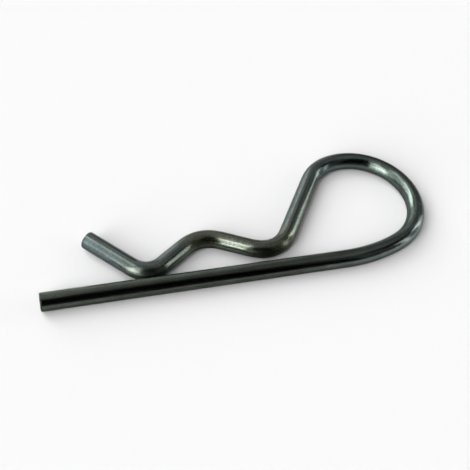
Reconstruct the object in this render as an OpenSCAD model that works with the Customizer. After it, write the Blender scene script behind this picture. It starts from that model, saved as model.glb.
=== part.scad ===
/*
 * Hitch R clip: one length of spring wire, bent flat, that locks a hitch pin.
 *
 * The clip lies on Z = 0. Its straight leg runs along X and goes through the
 * cross hole of the pin. The wavy leg comes back from the spring loop, and its
 * hump closes over the outside of the pin. Radii and lengths are those of the
 * wire's centre line. Gaps and heights are clear of the wire.
 */

/* [Wire] */
// Diameter of the wire
wire_d = 4; // [2.5:0.1:6]
// Radius of the rounded rim at each cut end
end_round = 0.3; // [0.1:0.05:0.8]

/* [Straight leg] */
// Length of the straight leg, from its free end to the spring loop
leg_l = 66.5; // [45:0.5:120]

/* [Spring loop] */
// Radius of the easy bend that leads from the leg into the loop
flare_r = 36; // [20:0.5:60]
// Turn of that easy bend, in degrees
flare_turn = 22; // [5:1:35]
// Radius of the loop
loop_r = 13.6; // [10:0.2:24]
// Turn of the loop, in degrees
loop_turn = 175.5; // [150:0.5:195]
// Radius of the shoulder, where the loop turns down into the wavy leg
shoulder_r = 10; // [6:0.2:16]

/* [Wavy leg] */
// Length of the straight that comes down from the shoulder to the dip
shank_l = 18.8; // [12:0.2:35]
// Gap between the straight leg and the dip
dip_gap = 1.5; // [0.5:0.1:5]
// Radius of the dip
dip_r = 6.5; // [4:0.1:10]
// Length of the straight that rises from the dip to the hump
rise_l = 7.9; // [3:0.1:16]
// Height under the hump, over the straight leg
hump_h = 6.6; // [4:0.1:12]
// Radius of the hump
hump_r = 7.4; // [5:0.1:12]
// Length of the straight that falls from the hump to the pinch
fall_l = 7.3; // [3:0.1:16]
// Gap between the straight leg and the pinch, where the two legs come closest
pinch_gap = 0.1; // [0.1:0.1:3]
// Radius of the pinch
pinch_r = 4.9; // [3.5:0.1:9]
// Length of the free arm past the pinch
arm_l = 12.3; // [5:0.1:30]
// Slope of the free arm to the straight leg, in degrees
arm_slope = 46.5; // [20:0.5:75]

/* [Hidden] */
$fn = 64;

wire_r = wire_d / 2;

// The wire is drawn in metres and enlarged in one step, so that its lengths meet without a seam
mm = 0.001;

// The wire is followed from the leg's free end. A heading is the direction in which it
// goes: 0 along the straight leg, 180 back along it. X = 0 and Y = 0 where the leg ends.
function polar(c, r, a) = c + r * [cos(a), sin(a)];
// Two bends of opposite turn, of radii r1 and r2, stand on either side of a straight of
// length l. This is the angle between the straight and the line through their centres.
function cross_angle(l, r1, r2) = atan2(r1 + r2, l);
// Centre of the second of two such bends, at height y over the leg's centre line
function next_centre(c, y, l, r1, r2) =
    [c[0] - sqrt(pow(l, 2) + pow(r1 + r2, 2) - pow(c[1] - y, 2)), y];
// Heading of the line from centre c to centre n
function toward(c, n) = 180 + atan2(c[1] - n[1], c[0] - n[0]);

// Centres of the bends
loop_c = polar([0, flare_r], flare_r - loop_r, flare_turn - 90);
loop_to = flare_turn + loop_turn;
shoulder_c = polar(loop_c, loop_r - shoulder_r, loop_to - 90);
dip_c = next_centre(shoulder_c, wire_d + dip_gap + dip_r, shank_l, shoulder_r, dip_r);
hump_c = next_centre(dip_c, wire_d + hump_h - hump_r, rise_l, dip_r, hump_r);
pinch_c = next_centre(hump_c, wire_d + pinch_gap + pinch_r, fall_l, hump_r, pinch_r);

// Headings of the straights between them
shank_to = toward(shoulder_c, dip_c) + cross_angle(shank_l, shoulder_r, dip_r);
rise_to = toward(dip_c, hump_c) - cross_angle(rise_l, dip_r, hump_r);
fall_to = toward(hump_c, pinch_c) + cross_angle(fall_l, hump_r, pinch_r);
arm_to = 180 - arm_slope;

// Middle of the outline, which reaches from the leg's free end to the loop's far side
mid_x = (loop_c[0] + loop_r + wire_r - leg_l) / 2;
mid_y = (loop_c[1] + loop_r) / 2;

// A straight length of wire along +X. What follows it starts at its end.
module straight(l) {
    rotate([0, 90, 0])
        cylinder(h = l * mm, d = wire_d * mm);
    translate([l * mm, 0, 0])
        children();
}

// A bend that starts along +X and turns left, or right if turn is negative.
// What follows it starts at its end.
module bend(r, turn) {
    side = sign(turn);
    translate([0, side * r * mm, 0])
        rotate(turn) {
            rotate(side > 0 ? -90 - turn : 90)
                rotate_extrude(angle = abs(turn))
                    translate([r * mm, 0])
                        rotate(-90)
                            circle(d = wire_d * mm);
            translate([0, -side * r * mm, 0])
                children();
        }
}

// The last length of wire along +X, cut flat with a rounded rim
module cut_end(l) {
    round_r = end_round * mm;
    flat_r = (wire_r - end_round) * mm;
    rotate([0, 90, 0])
        rotate_extrude() {
            square([flat_r, l * mm]);
            square([wire_r * mm, (l - end_round) * mm]);
            translate([flat_r, (l - end_round) * mm])
                circle(round_r);
        }
}

module r_clip() {
    color("dimgray")
        translate([-mid_x, -mid_y, wire_r])
            scale(1 / mm) {
                rotate(180)
                    cut_end(leg_l);
                bend(flare_r, flare_turn)
                bend(loop_r, loop_turn)
                bend(shoulder_r, shank_to - loop_to)
                straight(shank_l)
                bend(dip_r, rise_to - shank_to)
                straight(rise_l)
                bend(hump_r, fall_to - rise_to)
                straight(fall_l)
                bend(pinch_r, arm_to - fall_to)
                cut_end(arm_l);
            }
}

r_clip();
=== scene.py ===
"""Hitch R clip: the wire's looks, its plain pale floor, the soft lamps and the camera.

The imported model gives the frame. Lengths here are in metres in the same frame, and the named
dimensions in millimetres are the ones that drive the CAD part.
"""

import math

import bpy
import numpy as np
from mathutils import Matrix, Vector, noise


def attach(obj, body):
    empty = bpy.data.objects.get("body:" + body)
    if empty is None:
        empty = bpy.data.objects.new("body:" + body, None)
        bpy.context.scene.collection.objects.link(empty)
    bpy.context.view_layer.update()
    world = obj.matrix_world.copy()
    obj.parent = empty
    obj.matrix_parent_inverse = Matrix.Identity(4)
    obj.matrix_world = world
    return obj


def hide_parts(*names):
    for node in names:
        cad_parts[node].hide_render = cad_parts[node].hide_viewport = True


MM = 0.001

# The wire, in millimetres: radii and lengths on its centre line, gaps and heights clear of it
WIRE_D = 4.0
WIRE_R = WIRE_D / 2
END_ROUND = 0.3
LEG_L = 66.5
FLARE_R, FLARE_TURN = 36.0, 22.0
LOOP_R, LOOP_TURN = 13.6, 175.5
SHOULDER_R = 10.0
SHANK_L = 18.8
DIP_GAP, DIP_R = 1.5, 6.5
RISE_L = 7.9
HUMP_H, HUMP_R = 6.6, 7.4
FALL_L = 7.3
PINCH_GAP, PINCH_R = 0.1, 4.9
ARM_L, ARM_SLOPE = 12.3, 46.5

# The wire's mesh, and how its skin is laid out flat in columns, in millimetres
RING_STEP = 0.4
RING_SIDES = 96
RIM_RINGS = 6
FACE_RINGS = 14
UV_MAP = "OFBake"
UV_COLUMNS = 4
UV_GAP = 0.6
SHORTEST_STEP = RING_STEP / 4

# How far a bend eases into the wire on either side of it, in millimetres
EASE = 1.6

# The sheared ends, in millimetres: how deep the torn part lies, its waviness, where the tear starts and
# how softly, and how wide a band inside the rim it fades out in
TEAR_DEPTH, TEAR_WAVE, TEAR_AT, TEAR_SOFT = 0.05, 0.02, 0.25, 0.35
RIM_BAND = 0.3
# How often the tear's line changes in each millimetre and how far it wanders, how often its waves
# change, and how wavy the part that isn't torn is beside the torn one
LINE_OFTEN, LINE_WANDER = 1.3, 0.5
WAVE_OFTEN, CLEAN_WAVE = 2.2, 0.35
# The noise's seed for each end: 1 is the leg's, -1 is the arm's
SEEDS = {1: 3.7, -1: 11.2}

# The plating's tones: how much red and blue it reflects, where green is 1
TONES = {
    "grey": (0.88, 0.84),
    "warm grey": (0.93, 0.82),
    "blue grey": (0.84, 0.95),
    "grey green": (0.84, 0.85),
    "sea green": (0.79, 0.89),
    "cool grey": (0.79, 0.97),
    "olive": (0.90, 0.70),
}
# How the plating looks on a stretch of the wire: its tone and how bright it is on the outer side of the
# clip, the same on the inner side, and how bright it is underneath. The levels are partly painted light:
# they stand in for highlights and shade that the lamps don't give, and the level underneath is painted
# shade that darkens the wire's underside
OUTER_TONE, OUTER_LEVEL, INNER_TONE, INNER_LEVEL, UNDER_PAINTED_SHADE = range(5)
FINISHES = {
    # Painted shade: the leg is made darker on its outer side and underneath
    "painted_leg_shade": ("grey", 0.5, "grey green", 1.3, 0.3),
    "bright": ("blue grey", 1.2, "sea green", 1.0, 0.4),
    "plain": ("blue grey", 1.1, "grey green", 1.0, 0.4),
    "olive": ("warm grey", 1.0, "olive", 1.0, 0.2),
    # Painted highlight: the rise's inner side is made brighter than its plating
    "painted_highlight": ("warm grey", 1.2, "grey", 1.8, 0.3),
    "cool": ("blue grey", 1.1, "cool grey", 1.0, 0.6),
}
STRETCHES = {
    "leg": "painted_leg_shade", "flare": "plain", "loop": "bright", "shoulder": "cool", "shank": "plain",
    "dip": "olive", "rise": "painted_highlight", "hump": "olive", "fall": "plain", "pinch": "plain", "arm": "cool",
}
# How far inside a stretch its finish is reached, as a share of its length, and how far the blotches
# move that place, as a share of the wire's length
FADE = 0.2
WANDER = 0.01
# The brightest level in the finishes, and how much the plating reflects at level 1
LEVEL_TOP = 1.8
PLATED = 0.176
# The steel on the cut faces, and how much of it the specks leave bare
BARE_STEEL = (0.24, 0.235, 0.225, 1)
BARE_RANGE, BARE_SHARE = (0.35, 0.6), (0.5, 1.0)

# Where the outer side turns into the inner one, and the painted shade of the underside into the unshaded
# top, in millimetres across and above the centre line
OUTER_TO, INNER_FROM = -0.8, 1.2
PAINTED_SHADE_TO, UNSHADED_FROM = -0.2, 1.3

# The noises on the plating: how often they change in each millimetre along, across and above the
# centre line, their detail and their roughness
NOISES = {
    "lines": ((0.035, 2.4, 2.4), 4.0, 0.7),
    "fine_lines": ((0.15, 8.0, 8.0), 2.0, 0.6),
    "waves": ((0.06, 0.35, 0.35), 1.0, 0.5),
    "blotch": ((0.22, 0.5, 0.5), 4.0, 0.6),
    "specks": ((2.0, 3.0, 3.0), 4.0, 0.75),
    "hue": ((0.5, 1.1, 1.1), 3.0, 0.7),
}
# The part of a noise's range that is used
MOST = (0.3, 0.7)
# How they change the plating's level
LINES_LEVEL = (0.62, 1.38)
BLOTCH_LEVEL = (0.82, 1.18)
SPECKS_LEVEL, SPECKS_RANGE = (0.72, 1.28), (0.35, 0.65)
# The heights of the bumps that they make, in millimetres
HEIGHTS = {"lines": 0.016, "fine_lines": 0.004, "specks": 0.003, "waves": 0.06}
# The hue's spread, towards warm and towards cold
HUE_RANGE = (0.38, 0.62)
WARMER, COLDER = (1.06, 1.0, 0.95), (0.95, 1.0, 1.05)
# The painted shade on the rim at the two ends, up to how many millimetres along, and its level
RIM_TO, RIM_GONE, RIM_SHADE_LEVEL = 0.1, 0.5, 0.45
# Roughness: along the drawn lines, with the specks, on strained metal and on the cut faces
LINES_ROUGH = (0.13, 0.19)
SPECKS_ROUGH = (-0.03, 0.05)
STRAIN_FROM, STRAIN_TO, STRAIN_ROUGH = 0.06, 0.22, 0.15
CUT_ROUGH = 0.22
# How much the plating still reflects at a glancing angle, and how far the drawn lines stretch its gloss
EDGE_TINT = (0.55, 0.55, 0.55, 1)
DRAWN = 0.87

# The camera: where it looks, in millimetres, and how
IMAGE_SIDE = 470
FOCAL_PX = 788.0
SENSOR = 36.0
CAM_TARGET = (-1.634, -3.852, 2.0)
CAM_DISTANCE = 176.0
CAM_AZIMUTH, CAM_ELEVATION, CAM_ROLL = -20.669, 51.042, 8.876
CAM_CLIP = (0.01, 10)

# The floor, in metres, and how high its rim stands, in degrees from its middle
FLOOR_REACH = 4.5
FLOOR_RIM = 2.7
FLOOR_SIDES = 96
RIM_STEPS = 8
FLOOR_COLOR = (0.89, 0.89, 0.89, 1)
FLOOR_ROUGH = 0.9

# The light: upright soft boxes and overhead ones, this many metres off in a dim room
LAMP_DISTANCE = 40.0
ROOM_LEVEL = 0.002
LAMP_LEVEL = 0.985
UPRIGHT = {
    # name: (azimuth from, to, elevation from, to, radiance)
    "strip_back": (-155, -137, 10, 60, 5.2),
    "fill_back_left": (-137, -113, 18, 60, 2.6),
    "fill_left": (-113, -84, 18, 60, 1.3),
    "fill_near_left": (-84, -67, 0, 60, 1.6),
    "strip_left": (-67, -30, 0, 60, 2.1),
    "strip_left_outer": (-67, -43, 0, 60, 2.5),
    "strip_left_low": (-67, -35, 0, 38, 2.2),
    "strip_edge_low": (-35, -30, 0, 18, 3.4),
    "glow_front": (32, 62, 0, 60, 0.1),
    "pane_near": (62, 73, 0, 38, 2.2),
    "pane_between": (73, 91, 0, 38, 0.4),
    "pane_far": (91, 98, 0, 38, 3.8),
    "pane_far_edge": (98, 104, 0, 38, 1.9),
    "fill_right": (104, 160, 18, 60, 0.2),
    "fill_back": (160, 183, 0, 60, 0.5),
    "spill_back": (183, 205, 0, 38, 1.2),
}
OVERHEAD = {
    # name: (azimuth, elevation, width and height in degrees, radiance)
    "top_left": (-130, 68, 26, 14, 1.5),
    "top_bar": (-130, 67, 30, 4, 0.2),
    "top_strip": (-43, 65, 12, 15, 2.9),
    "top_near": (-90, 74, 20, 18, 0.4),
    "top_middle": (-60, 86, 10, 10, 0.7),
    "top_right": (140, 75, 50, 30, 0.3),
    "top_back": (-160, 68, 14, 14, 0.3),
}


# ---------------------------------------------------------------- the wire's path

def polar(centre, radius, degrees):
    """The point at that radius and angle from a centre."""
    a = math.radians(degrees)
    return (centre[0] + radius * math.cos(a), centre[1] + radius * math.sin(a))


def cross_angle(length, r1, r2):
    """How far a straight that crosses between two bends leans from the line of their centres."""
    return math.degrees(math.atan2(r1 + r2, length))


def next_centre(centre, y, length, r1, r2):
    """The centre of the next bend at height y, one crossing straight further on."""
    reach = math.hypot(length, r1 + r2)
    return (centre[0] - math.sqrt(reach**2 - (centre[1] - y) ** 2), y)


def toward(centre, following):
    """The heading, in degrees, from one bend's centre to the following one's."""
    return 180 + math.degrees(math.atan2(centre[1] - following[1], centre[0] - following[0]))


def wire_segments():
    """(name, straight length or None, bend radius or None, turn in degrees) from the leg's free end on,
    and the centre of the outline, measured from the leg's far end."""
    loop_c = polar((0, FLARE_R), FLARE_R - LOOP_R, FLARE_TURN - 90)
    loop_to = FLARE_TURN + LOOP_TURN
    shoulder_c = polar(loop_c, LOOP_R - SHOULDER_R, loop_to - 90)
    dip_c = next_centre(shoulder_c, WIRE_D + DIP_GAP + DIP_R, SHANK_L, SHOULDER_R, DIP_R)
    hump_c = next_centre(dip_c, WIRE_D + HUMP_H - HUMP_R, RISE_L, DIP_R, HUMP_R)
    pinch_c = next_centre(hump_c, WIRE_D + PINCH_GAP + PINCH_R, FALL_L, HUMP_R, PINCH_R)
    shank_to = toward(shoulder_c, dip_c) + cross_angle(SHANK_L, SHOULDER_R, DIP_R)
    rise_to = toward(dip_c, hump_c) - cross_angle(RISE_L, DIP_R, HUMP_R)
    fall_to = toward(hump_c, pinch_c) + cross_angle(FALL_L, HUMP_R, PINCH_R)
    arm_to = 180 - ARM_SLOPE
    segments = [
        ("leg", LEG_L, None, 0),
        ("flare", None, FLARE_R, FLARE_TURN),
        ("loop", None, LOOP_R, LOOP_TURN),
        ("shoulder", None, SHOULDER_R, shank_to - loop_to),
        ("shank", SHANK_L, None, 0),
        ("dip", None, DIP_R, rise_to - shank_to),
        ("rise", RISE_L, None, 0),
        ("hump", None, HUMP_R, fall_to - rise_to),
        ("fall", FALL_L, None, 0),
        ("pinch", None, PINCH_R, arm_to - fall_to),
        ("arm", ARM_L, None, 0),
    ]
    middle = ((loop_c[0] + LOOP_R + WIRE_R - LEG_L) / 2, (loop_c[1] + LOOP_R) / 2)
    return segments, middle


def wire_stations():
    """Arrays along the centre line, in millimetres: x, y, heading in radians, distance from the
    leg's free end, and curvature, which is above 0 where the wire turns left."""
    segments, middle = wire_segments()
    x, y, heading, s = -LEG_L - middle[0], -middle[1], 0.0, 0.0
    rows = []
    for k, (_, length, radius, turn) in enumerate(segments):
        span = segment_length(length, radius, turn)
        bend = 0.0 if radius is None else math.copysign(1 / radius, turn)
        steps = max(2, round(span / RING_STEP))
        first = 0 if k == 0 else 1
        for i in range(first, steps + 1):
            d = span * i / steps
            rows.append((*step_along(x, y, heading, bend, d), s + d, bend))
        x, y, heading = step_along(x, y, heading, bend, span)
        s += span
    return eased(np.array(rows))


def eased(rows):
    """The same stations with bends that begin and end gently, as a bent wire's do, up to the middle of
    the fall. The pinch after it is bent sharply, and both ends stay where they are."""
    x, y, heading, s, bend = rows.T
    weight = nearby(s)
    turned = np.unwrap(np.arctan2(weight @ np.sin(heading), weight @ np.cos(heading)))
    soft = np.stack([weight @ x, weight @ y, turned, s, bend], -1)
    lengths = {name: segment_length(*shape) for name, *shape in wire_segments()[0]}
    sharp_from = wire_length() - lengths["arm"] - lengths["pinch"] - lengths["fall"] / 2
    return np.where(((s > 3 * EASE) & (s < sharp_from))[:, None], soft, rows)


def nearby(s):
    """For each station, the weights with which it takes the mean of those near it."""
    weight = np.exp(-(((s[:, None] - s) / EASE) ** 2)) * np.gradient(s)
    return weight / weight.sum(axis=1, keepdims=True)


def segment_length(length, radius, turn):
    """How long a straight or a bend is on the centre line."""
    return length if radius is None else radius * math.radians(abs(turn))


def wire_length():
    """The length of the wire along its centre line, in millimetres."""
    return sum(segment_length(*shape) for _, *shape in wire_segments()[0])


def step_along(x, y, heading, bend, d):
    """The point and heading at d along a straight (bend 0) or an arc of that curvature."""
    if bend == 0:
        return x + d * math.cos(heading), y + d * math.sin(heading), heading
    end = heading + bend * d
    return (
        x + (math.sin(end) - math.sin(heading)) / bend,
        y - (math.cos(end) - math.cos(heading)) / bend,
        end,
    )


# ---------------------------------------------------------------- the wire's mesh

def end_rings():
    """(how far past the rim's start, radius, 1 on the cut face) of the rings that close an end."""
    rings = []
    for i in range(1, RIM_RINGS + 1):
        a = math.radians(90 * i / RIM_RINGS)
        rings.append((END_ROUND * math.sin(a), WIRE_R - END_ROUND * (1 - math.cos(a)), 0.0))
    flat = WIRE_R - END_ROUND
    for i in range(1, FACE_RINGS):
        rings.append((END_ROUND, flat * (1 - i / FACE_RINGS), 1.0))
    return rings


def wire_rings():
    """An array of every ring of the mesh: x, y, heading, radius, distance along, curvature, cut."""
    rows = wire_stations()
    first, last = rows[0], rows[-1]
    total = last[3]

    def on_straight(row, s, radius, cut):
        reach = s - row[3]
        x, y, heading = step_along(row[0], row[1], row[2], 0.0, reach)
        return (x, y, heading, radius, s, 0.0, cut)

    rings = [on_straight(first, END_ROUND - past, radius, cut) for past, radius, cut in reversed(end_rings())]
    rings.append(on_straight(first, END_ROUND, WIRE_R, 0.0))
    for x, y, heading, s, bend in rows:
        if END_ROUND + SHORTEST_STEP < s < total - END_ROUND - SHORTEST_STEP:
            rings.append((x, y, heading, WIRE_R, s, bend, 0.0))
    rings.append(on_straight(last, total - END_ROUND, WIRE_R, 0.0))
    rings += [on_straight(last, total - END_ROUND + past, radius, cut) for past, radius, cut in end_rings()]
    return np.array(rings)


def tear_depth(across, up, seed):
    """How far the torn part of a sheared end lies below its rim."""
    wander = noise.noise(Vector((across * LINE_OFTEN, seed, 0.0))) * LINE_WANDER
    torn = min(max((up - TEAR_AT - wander) / TEAR_SOFT + 0.5, 0.0), 1.0)
    rough = noise.fractal(Vector((across * WAVE_OFTEN, up * WAVE_OFTEN, seed)), 0.8, 2.0, 4)
    depth = TEAR_DEPTH * torn + TEAR_WAVE * (0.5 + rough) * (CLEAN_WAVE + (1 - CLEAN_WAVE) * torn)
    inside = min((WIRE_R - END_ROUND - math.hypot(across, up)) / RIM_BAND, 1.0)
    return max(depth, 0.0) * inside * inside * (3 - 2 * inside)


def build_wire():
    """The wire as rings of points along its path, closed by a point at each end."""
    rings = wire_rings()
    n = len(rings)
    x, y, heading, radius, along, bend, cut = rings.T
    phi = np.arange(RING_SIDES) / RING_SIDES * 2 * math.pi
    across, up = radius[:, None] * np.cos(phi), radius[:, None] * np.sin(phi)
    dig = np.zeros((n, RING_SIDES))
    for i in np.flatnonzero(cut):
        inward = 1 if i < n / 2 else -1
        for j in range(RING_SIDES):
            dig[i, j] = inward * tear_depth(across[i, j], up[i, j], SEEDS[inward])
    verts = np.stack([
        x[:, None] - np.sin(heading)[:, None] * across + np.cos(heading)[:, None] * dig,
        y[:, None] + np.cos(heading)[:, None] * across + np.sin(heading)[:, None] * dig,
        WIRE_R + up,
    ], -1).reshape(-1, 3)
    ends = np.array([
        (x[k] + inward * math.cos(heading[k]) * tear_depth(0, 0, SEEDS[inward]),
         y[k] + inward * math.sin(heading[k]) * tear_depth(0, 0, SEEDS[inward]), WIRE_R)
        for k, inward in ((0, 1), (-1, -1))])
    unbent = np.stack([np.broadcast_to(along[:, None], across.shape), across, up], -1).reshape(-1, 3)

    faces = []
    for i in range(n - 1):
        for j in range(RING_SIDES):
            k = (j + 1) % RING_SIDES
            faces.append((i * RING_SIDES + j, i * RING_SIDES + k,
                          (i + 1) * RING_SIDES + k, (i + 1) * RING_SIDES + j))
    near, far = n * RING_SIDES, n * RING_SIDES + 1
    faces += [(near, (j + 1) % RING_SIDES, j) for j in range(RING_SIDES)]
    last = (n - 1) * RING_SIDES
    faces += [(far, last + j, last + (j + 1) % RING_SIDES) for j in range(RING_SIDES)]

    mesh = bpy.data.meshes.new("r_clip_wire")
    mesh.from_pydata((np.vstack([verts, ends]) * MM).tolist(), [], faces)
    mesh.polygons.foreach_set("use_smooth", [True] * len(mesh.polygons))
    give(mesh, "unbent", np.vstack([unbent, (along[0], 0, 0), (along[-1], 0, 0)]))
    give(mesh, "strain", np.append(-(nearby(along) @ bend)[:, None] * across, (0, 0)))
    give(mesh, "cut", np.append(np.repeat(cut, RING_SIDES), (1, 1)))
    lay_flat(mesh, radius, along, cut)
    wire = bpy.data.objects.new("r_clip_wire", mesh)
    bpy.context.scene.collection.objects.link(wire)
    return wire


def give(mesh, name, values):
    """Stores a number or a vector for every point of the mesh."""
    kind, field = ("FLOAT_VECTOR", "vector") if values.ndim == 2 else ("FLOAT", "value")
    mesh.attributes.new(name, kind, "POINT").data.foreach_set(field, values.astype(np.float32).ravel())


def lay_flat(mesh, radius, along, cut):
    """The UV map: the skin in columns side by side, U round the wire and V along it, and above them
    the two cut faces."""
    n = len(radius)
    on_face = cut[1:] * cut[:-1]
    skin = np.concatenate([[0], np.cumsum(np.hypot(np.diff(along), np.where(on_face, 0, np.diff(radius))))])
    outside = np.flatnonzero(cut == 0)
    skin -= skin[outside[0] - 1]
    length = skin[outside[-1]] / UV_COLUMNS
    around = WIRE_D * math.pi
    side = max(UV_COLUMNS * (around + UV_GAP) + UV_GAP, length + WIRE_D + 3 * UV_GAP)
    turn = np.arange(RING_SIDES + 1) / RING_SIDES
    circle = np.stack([np.cos(turn * 2 * math.pi), np.sin(turn * 2 * math.pi)], -1)

    def face_centre(first):
        return np.array((WIRE_D, length + UV_GAP * 2 + WIRE_R)) + (0 if first else 2 * WIRE_D, 0)

    uv = np.zeros((n - 1, RING_SIDES, 4, 2))
    for i in range(n - 1):
        if cut[i] or cut[i + 1]:
            low, high = (face_centre(i < n / 2) + r * circle for r in radius[i:i + 2])
        else:
            column = min(int((skin[i] + skin[i + 1]) / 2 / length), UV_COLUMNS - 1)
            u = UV_GAP + column * (around + UV_GAP) + around * turn
            low, high = (np.stack([u, np.full_like(u, UV_GAP + v - column * length)], -1)
                         for v in skin[i:i + 2])
        uv[i, :, 0], uv[i, :, 1], uv[i, :, 2], uv[i, :, 3] = low[:-1], low[1:], high[1:], high[:-1]
    fans = []
    for k in (0, -1):
        centre = face_centre(k == 0)
        disc = centre + radius[k] * circle
        for j in range(RING_SIDES):
            fans += [centre, disc[j + 1], disc[j]] if k == 0 else [centre, disc[j], disc[j + 1]]
    flat = np.vstack([uv.reshape(-1, 2), np.array(fans)]) / side
    mesh.uv_layers.new(name=UV_MAP).data.foreach_set("uv", flat.astype(np.float32).ravel())


# ---------------------------------------------------------------- materials

class Graph:
    """Short calls that add nodes to a material's tree."""

    def __init__(self, tree):
        self.tree = tree

    def add(self, kind, **settings):
        node = self.tree.nodes.new(kind)
        for key, value in settings.items():
            setattr(node, key, value)
        return node

    def put(self, socket, value):
        if hasattr(value, "links"):
            self.tree.links.new(value, socket)
        else:
            socket.default_value = value

    def math(self, operation, a, b=0.0):
        node = self.add("ShaderNodeMath", operation=operation)
        self.put(node.inputs[0], a)
        self.put(node.inputs[1], b)
        return node.outputs[0]

    def attribute(self, name, output):
        return self.add("ShaderNodeAttribute", attribute_name=name).outputs[output]

    def parts(self, vector):
        node = self.add("ShaderNodeSeparateXYZ")
        self.put(node.inputs[0], vector)
        return tuple(node.outputs)

    def scale(self, color, factor):
        node = self.add("ShaderNodeVectorMath", operation="SCALE")
        self.put(node.inputs[0], color)
        self.put(node.inputs["Scale"], factor)
        return node.outputs[0]

    def bump(self, height, distance):
        """A bump from a height in units of that distance."""
        node = self.add("ShaderNodeBump")
        node.inputs["Distance"].default_value = distance
        node.inputs["Strength"].default_value = 1.0
        self.put(node.inputs["Height"], height)
        return node.outputs["Normal"]

    def noise(self, vector, detail, roughness):
        node = self.add("ShaderNodeTexNoise")
        self.put(node.inputs["Vector"], vector)
        node.inputs["Scale"].default_value = 1.0
        node.inputs["Detail"].default_value = detail
        node.inputs["Roughness"].default_value = roughness
        return node.outputs["Fac"]

    def times(self, vector, factors):
        """A vector or colour with each part multiplied by its factor."""
        node = self.add("ShaderNodeVectorMath", operation="MULTIPLY")
        self.put(node.inputs[0], vector)
        node.inputs[1].default_value = factors
        return node.outputs[0]

    def span(self, value, low, high, to_low=0.0, to_high=1.0):
        """Takes low to high to the other two numbers, and stays there beyond them."""
        node = self.add("ShaderNodeMapRange", clamp=True)
        self.put(node.inputs["Value"], value)
        for name, number in (("From Min", low), ("From Max", high), ("To Min", to_low), ("To Max", to_high)):
            node.inputs[name].default_value = number
        return node.outputs["Result"]

    def mix(self, factor, a, b):
        node = self.add("ShaderNodeMix", data_type="RGBA")
        self.put(node.inputs["Factor"], factor)
        self.put(node.inputs["A"], a)
        self.put(node.inputs["B"], b)
        return node.outputs["Result"]

    def ramp(self, value, stops):
        node = self.add("ShaderNodeValToRGB")
        self.put(node.inputs["Fac"], value)
        elements = node.color_ramp.elements
        while len(elements) > 1:
            elements.remove(elements[-1])
        elements[0].position, elements[0].color = stops[0]
        for position, color in stops[1:]:
            elements.new(position).color = color
        return node.outputs["Color"]


def new_material(name):
    """A material with only a principled shader, its tree's short calls, and that shader."""
    material = bpy.data.materials.new(name)
    material.use_nodes = True
    tree = material.node_tree
    tree.nodes.clear()
    shader = tree.nodes.new("ShaderNodeBsdfPrincipled")
    output = tree.nodes.new("ShaderNodeOutputMaterial")
    tree.links.new(shader.outputs["BSDF"], output.inputs["Surface"])
    return material, Graph(tree), shader


def finish_stops(column):
    """(share of the wire's length, entry in that column of the finishes) where each finish is reached."""
    stops, start = [], 0.0
    for name, *shape in wire_segments()[0]:
        span = segment_length(*shape)
        entry = FINISHES[STRETCHES[name]][column]
        stops += [((start + share * span) / wire_length(), entry) for share in (FADE, 1 - FADE)]
        start += span
    return stops


def tone_stops(column):
    """Ramp stops for the tone in that column."""
    return [(place, (TONES[tone][0], 1.0, TONES[tone][1], 1)) for place, tone in finish_stops(column)]


def level_stops(column):
    """Ramp stops for the brightness in that column, as a share of the brightest."""
    return [(place, (level / LEVEL_TOP,) * 3 + (1,)) for place, level in finish_stops(column)]


def plating_color(g, noises, unbent):
    """The plating: its finish at each place, with painted shade underneath and at the two ends, drawn lines,
    blotches, specks and a little hue.
    """
    along, across, up = g.parts(unbent)
    place = g.math("DIVIDE", along, wire_length())
    wander = g.math("ADD", place, g.span(noises["blotch"], *MOST, -WANDER, WANDER))
    inner = g.span(across, OUTER_TO, INNER_FROM)

    tone = g.mix(inner, g.ramp(wander, tone_stops(OUTER_TONE)), g.ramp(wander, tone_stops(INNER_TONE)))
    tone = g.mix(g.span(noises["hue"], *HUE_RANGE), g.times(tone, WARMER), g.times(tone, COLDER))

    unshaded = g.mix(inner, g.ramp(wander, level_stops(OUTER_LEVEL)), g.ramp(wander, level_stops(INNER_LEVEL)))
    # Painted shade: the plating is made darker towards its underside
    level = g.mix(g.span(up, PAINTED_SHADE_TO, UNSHADED_FROM), g.ramp(wander, level_stops(UNDER_PAINTED_SHADE)), unshaded)
    from_end = g.math("MINIMUM", along, g.math("SUBTRACT", wire_length(), along))
    for factor in (
        LEVEL_TOP * PLATED,
        g.span(noises["lines"], *MOST, *LINES_LEVEL),
        g.span(noises["blotch"], *MOST, *BLOTCH_LEVEL),
        g.span(noises["specks"], *SPECKS_RANGE, *SPECKS_LEVEL),
        # Painted shade on the rims at the two ends
        g.span(from_end, RIM_TO, RIM_GONE, RIM_SHADE_LEVEL, 1.0),
    ):
        level = g.math("MULTIPLY", level, factor)
    return g.scale(tone, level)


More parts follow.
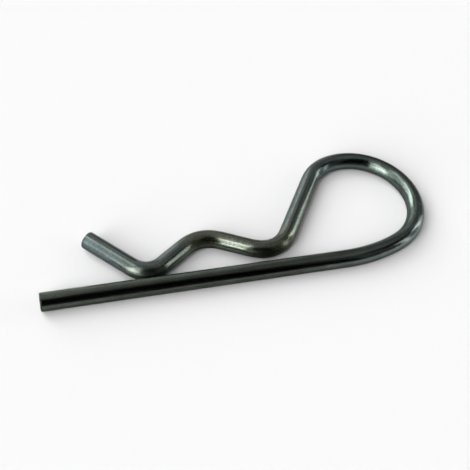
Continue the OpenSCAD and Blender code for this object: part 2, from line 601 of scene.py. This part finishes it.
def wire_material():
    """Dark plating on drawn wire, and bare steel on the sheared ends."""
    material, g, shader = new_material("plated_wire")
    unbent = g.attribute("unbent", "Vector")
    strain = g.attribute("strain", "Fac")
    cut = g.attribute("cut", "Fac")
    noises = {name: g.noise(g.times(unbent, often), detail, roughness)
              for name, (often, detail, roughness) in NOISES.items()}

    bare = g.math("MULTIPLY", cut, g.span(noises["specks"], *BARE_RANGE, *BARE_SHARE))
    g.put(shader.inputs["Base Color"], g.mix(bare, plating_color(g, noises, unbent), BARE_STEEL))

    rough = g.span(noises["lines"], *MOST, *LINES_ROUGH)
    for more in (
        g.span(noises["specks"], *MOST, *SPECKS_ROUGH),
        g.span(g.math("ABSOLUTE", strain), STRAIN_FROM, STRAIN_TO, 0.0, STRAIN_ROUGH),
        g.math("MULTIPLY", cut, CUT_ROUGH),
    ):
        rough = g.math("ADD", rough, more)
    g.put(shader.inputs["Roughness"], rough)

    height = 0.0
    for name, tall in HEIGHTS.items():
        height = g.math("ADD", g.math("MULTIPLY", noises[name], tall), height)
    g.put(shader.inputs["Normal"], g.bump(height, MM))

    shader.inputs["Metallic"].default_value = 1.0
    shader.inputs["Specular Tint"].default_value = EDGE_TINT
    shader.inputs["Anisotropic"].default_value = DRAWN
    tangent = g.add("ShaderNodeTangent", direction_type="UV_MAP", uv_map=UV_MAP)
    g.put(shader.inputs["Tangent"], tangent.outputs[0])
    return material


def floor_material():
    """Pale and matt."""
    material, _, shader = new_material("pale_floor")
    shader.inputs["Base Color"].default_value = FLOOR_COLOR
    shader.inputs["Roughness"].default_value = FLOOR_ROUGH
    shader.inputs["Specular IOR Level"].default_value = 0.0
    return material


# ---------------------------------------------------------------- floor, lamps, camera

def build_floor():
    """A wide flat floor whose far edge curves up a little, so that it fills a low camera's view too."""
    mesh = bpy.data.meshes.new("floor")
    rim = FLOOR_REACH * math.tan(math.radians(FLOOR_RIM))
    profile = [(0.25, 0.0), (0.5, 0.0)]
    profile += [(0.5 + 0.5 * k / RIM_STEPS, (k / RIM_STEPS) ** 2) for k in range(1, RIM_STEPS + 1)]
    verts, faces = [], []
    for share, lift in profile:
        for j in range(FLOOR_SIDES):
            a = 2 * math.pi * j / FLOOR_SIDES
            reach = FLOOR_REACH * share
            verts.append((reach * math.cos(a), reach * math.sin(a), rim * lift))
    faces.append(tuple(range(FLOOR_SIDES)))
    for i in range(len(profile) - 1):
        for j in range(FLOOR_SIDES):
            k = (j + 1) % FLOOR_SIDES
            faces.append((i * FLOOR_SIDES + j, (i + 1) * FLOOR_SIDES + j,
                          (i + 1) * FLOOR_SIDES + k, i * FLOOR_SIDES + k))
    mesh.from_pydata(verts, [], faces)
    mesh.polygons.foreach_set("use_smooth", [True] * len(mesh.polygons))
    mesh.materials.append(floor_material())
    floor = bpy.data.objects.new("floor", mesh)
    bpy.context.scene.collection.objects.link(floor)
    return floor


def direction(azimuth, elevation):
    """The unit vector to a place round the object. Azimuth 0 is in front, on the -Y side, and 90 is +X."""
    a, e = math.radians(azimuth), math.radians(elevation)
    return Vector((math.sin(a) * math.cos(e), -math.cos(a) * math.cos(e), math.sin(e)))


def add_lamp(name, place, facing, width, height, radiance):
    """A rectangular soft box at that place which shines back along facing."""
    lamp = bpy.data.lights.new(name, "AREA")
    lamp.shape = "RECTANGLE"
    lamp.size, lamp.size_y = width, height
    lamp.energy = LAMP_LEVEL * radiance * math.pi * width * height
    holder = bpy.data.objects.new(name, lamp)
    holder.location = place
    holder.rotation_mode = "QUATERNION"
    holder.rotation_quaternion = facing.to_track_quat("Z", "Y")
    holder.visible_camera = False
    bpy.context.scene.collection.objects.link(holder)


def add_upright(name, west, east, low, high, radiance):
    """An upright soft box that fills azimuths west to east and elevations low to high."""
    facing = direction((west + east) / 2, 0)
    bottom, top = (LAMP_DISTANCE * math.tan(math.radians(v)) for v in (low, high))
    width = 2 * LAMP_DISTANCE * math.tan(math.radians((east - west) / 2))
    place = facing * LAMP_DISTANCE + Vector((0, 0, (bottom + top) / 2))
    add_lamp(name, place, facing, width, top - bottom, radiance)


def add_overhead(name, azimuth, elevation, width, height, radiance):
    """A soft box that looks down at the object."""
    facing = direction(azimuth, elevation)
    sides = [2 * LAMP_DISTANCE * math.tan(math.radians(v / 2)) for v in (width, height)]
    add_lamp(name, facing * LAMP_DISTANCE, facing, *sides, radiance)


def build_world():
    """A dim room round the lamps."""
    world = bpy.data.worlds.new("studio")
    world.use_nodes = True
    bpy.context.scene.world = world
    tree = world.node_tree
    tree.nodes.clear()
    g = Graph(tree)
    back = g.add("ShaderNodeBackground")
    back.inputs["Color"].default_value = (1, 1, 1, 1)
    back.inputs["Strength"].default_value = ROOM_LEVEL
    out = g.add("ShaderNodeOutputWorld")
    tree.links.new(back.outputs[0], out.inputs["Surface"])


def add_camera():
    """The camera at the photo's angle."""
    azimuth, roll = math.radians(CAM_AZIMUTH), math.radians(CAM_ROLL)
    back = direction(CAM_AZIMUTH, CAM_ELEVATION)
    right = Vector((math.cos(azimuth), math.sin(azimuth), 0))
    up = back.cross(right)
    turned_right = right * math.cos(roll) + up * math.sin(roll)
    turned_up = -right * math.sin(roll) + up * math.cos(roll)
    data = bpy.data.cameras.new("camera")
    data.sensor_width = SENSOR
    data.lens = FOCAL_PX / IMAGE_SIDE * SENSOR
    data.clip_start, data.clip_end = CAM_CLIP
    camera = bpy.data.objects.new("camera", data)
    bpy.context.scene.collection.objects.link(camera)
    place = (Vector(CAM_TARGET) + back * CAM_DISTANCE) * MM
    turn = Matrix((turned_right, turned_up, back)).transposed().to_4x4()
    camera.matrix_world = Matrix.Translation(place) @ turn
    bpy.context.scene.camera = camera


# ---------------------------------------------------------------- the scene

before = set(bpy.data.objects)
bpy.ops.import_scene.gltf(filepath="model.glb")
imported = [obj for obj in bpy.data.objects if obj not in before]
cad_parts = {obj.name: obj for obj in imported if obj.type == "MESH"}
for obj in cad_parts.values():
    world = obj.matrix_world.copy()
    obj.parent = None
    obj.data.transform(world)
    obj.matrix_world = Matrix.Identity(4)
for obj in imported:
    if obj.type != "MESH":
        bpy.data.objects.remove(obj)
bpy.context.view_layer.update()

wire = build_wire()
wire.data.materials.append(wire_material())
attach(wire, "root")
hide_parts("r_clip")

build_floor()
for lamp_name, lamp_facts in UPRIGHT.items():
    add_upright(lamp_name, *lamp_facts)
for lamp_name, lamp_facts in OVERHEAD.items():
    add_overhead(lamp_name, *lamp_facts)
build_world()
add_camera()
bpy.context.scene.view_settings.view_transform = "Standard"
